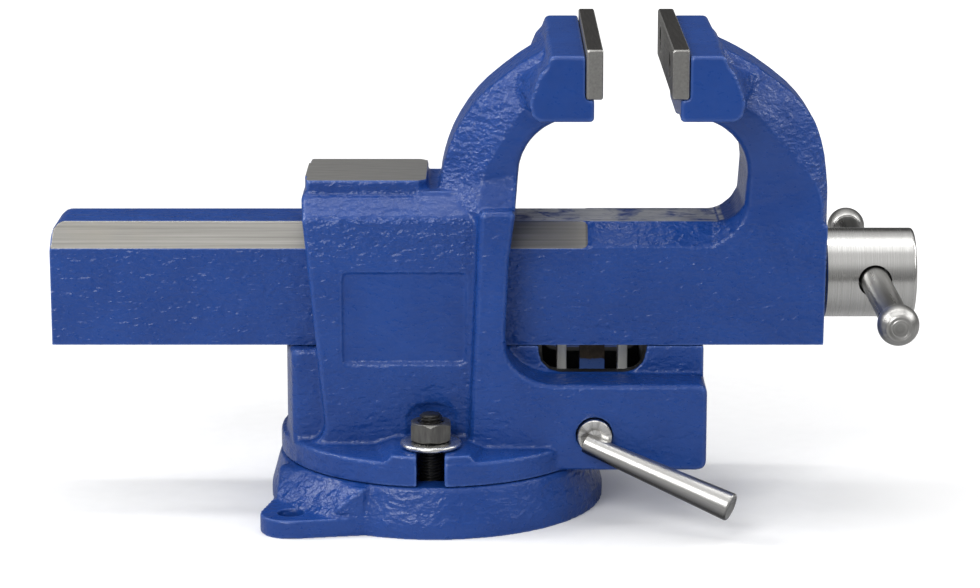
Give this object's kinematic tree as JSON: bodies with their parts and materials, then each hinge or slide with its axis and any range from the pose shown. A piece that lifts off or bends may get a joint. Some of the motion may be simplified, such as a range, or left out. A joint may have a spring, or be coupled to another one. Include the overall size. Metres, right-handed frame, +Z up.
{
  "type": "bench vise",
  "caption": "Quick-release bench vise on a swivel base, with a sliding box bar, anvil, spindle with sliding handle, and release lever.",
  "frame": {"origin": "swivel axis at the bench top", "axes": "+X along the bar from the fixed jaw to the handle, +Y away from the release lever's side, +Z up"},
  "size_m": [0.3787, 0.215, 0.2097],
  "materials": {
    "blue_paint": "semi-gloss enamel over cast iron, orange-peel texture",
    "hardened_steel": "ground",
    "bright_steel": "turned, satin",
    "zinc_plate": "bright zinc plating",
    "black_oxide": "black oxide",
    "dark_steel": "oiled"
  },
  "bodies": {
    "base": {"swivel_base": "blue_paint"},
    "body": {"vise_body": "blue_paint", "fixed_jaw_insert": "hardened_steel", "fixed_insert_screw_front": "dark_steel", "fixed_insert_screw_back": "dark_steel", "guide_yoke": "zinc_plate", "yoke_screw_front": "dark_steel", "yoke_screw_back": "dark_steel", "nut_spring_left": "zinc_plate", "nut_spring_right": "zinc_plate", "clamp_bolt_front": "black_oxide", "clamp_bolt_back": "black_oxide", "clamp_washer_front": "zinc_plate", "clamp_washer_back": "zinc_plate"},
    "jaw": {"moving_jaw": "blue_paint", "moving_jaw_insert": "hardened_steel", "moving_insert_screw_front": "dark_steel", "moving_insert_screw_back": "dark_steel"},
    "screw": {"spindle": "bright_steel", "thrust_collar": "dark_steel", "collar_pin": "bright_steel"},
    "handle": {"tommy_bar": "bright_steel", "tommy_ball_front": "bright_steel", "tommy_ball_back": "bright_steel"},
    "release": {"release_shaft": "bright_steel", "release_lever": "bright_steel", "shaft_clip": "black_oxide"},
    "nut": {"half_nut": "dark_steel"},
    "front_clamp": {"clamp_nut_front": "dark_steel"},
    "back_clamp": {"clamp_nut_back": "dark_steel"}
  },
  "joints": [
    {"name": "swivel", "type": "hinge", "parent": "base", "child": "body", "pos_m": [0, 0, 0], "axis": [0, 0, 1], "continuous": true},
    {"name": "jaw_slide", "type": "slide", "parent": "body", "child": "jaw", "axis": [1, 0, 0], "range_m": [-0.0287, 0.096]},
    {"name": "spindle_turn", "type": "hinge", "parent": "jaw", "child": "screw", "pos_m": [0.1705, 0, 0.101], "axis": [1, 0, 0], "range_deg": [-2066, 6910]},
    {"name": "handle_slide", "type": "slide", "parent": "screw", "child": "handle", "axis": [0, 1, 0], "range_m": [-0.07, 0.07]},
    {"name": "release_turn", "type": "hinge", "parent": "body", "child": "release", "pos_m": [0.069, 0, 0.0384], "axis": [0, -1, 0], "range_deg": [0, 74], "stiffness_Nm_per_rad": 0.0156, "springref_deg": -102.56},
    {"name": "half_nut_lift", "type": "slide", "parent": "body", "child": "nut", "axis": [0, 0, 1], "range_m": [-0.00362, 0], "deforming": ["nut_spring_left", "nut_spring_right"]},
    {"name": "front_nut_turn", "type": "hinge", "parent": "body", "child": "front_clamp", "pos_m": [-0.0018, -0.052, 0.0386], "axis": [0, 0, 1], "range_deg": [0, 180]},
    {"name": "back_nut_turn", "type": "hinge", "parent": "body", "child": "back_clamp", "pos_m": [-0.0018, 0.052, 0.0386], "axis": [0, 0, 1], "range_deg": [0, 180]}
  ],
  "couplings": [
    {"joint": "jaw_slide", "follows": "spindle_turn", "m_per_rad": 0.00079577},
    {"joint": "half_nut_lift", "follows": "release_turn", "m_per_rad": -0.0027953}
  ]
}
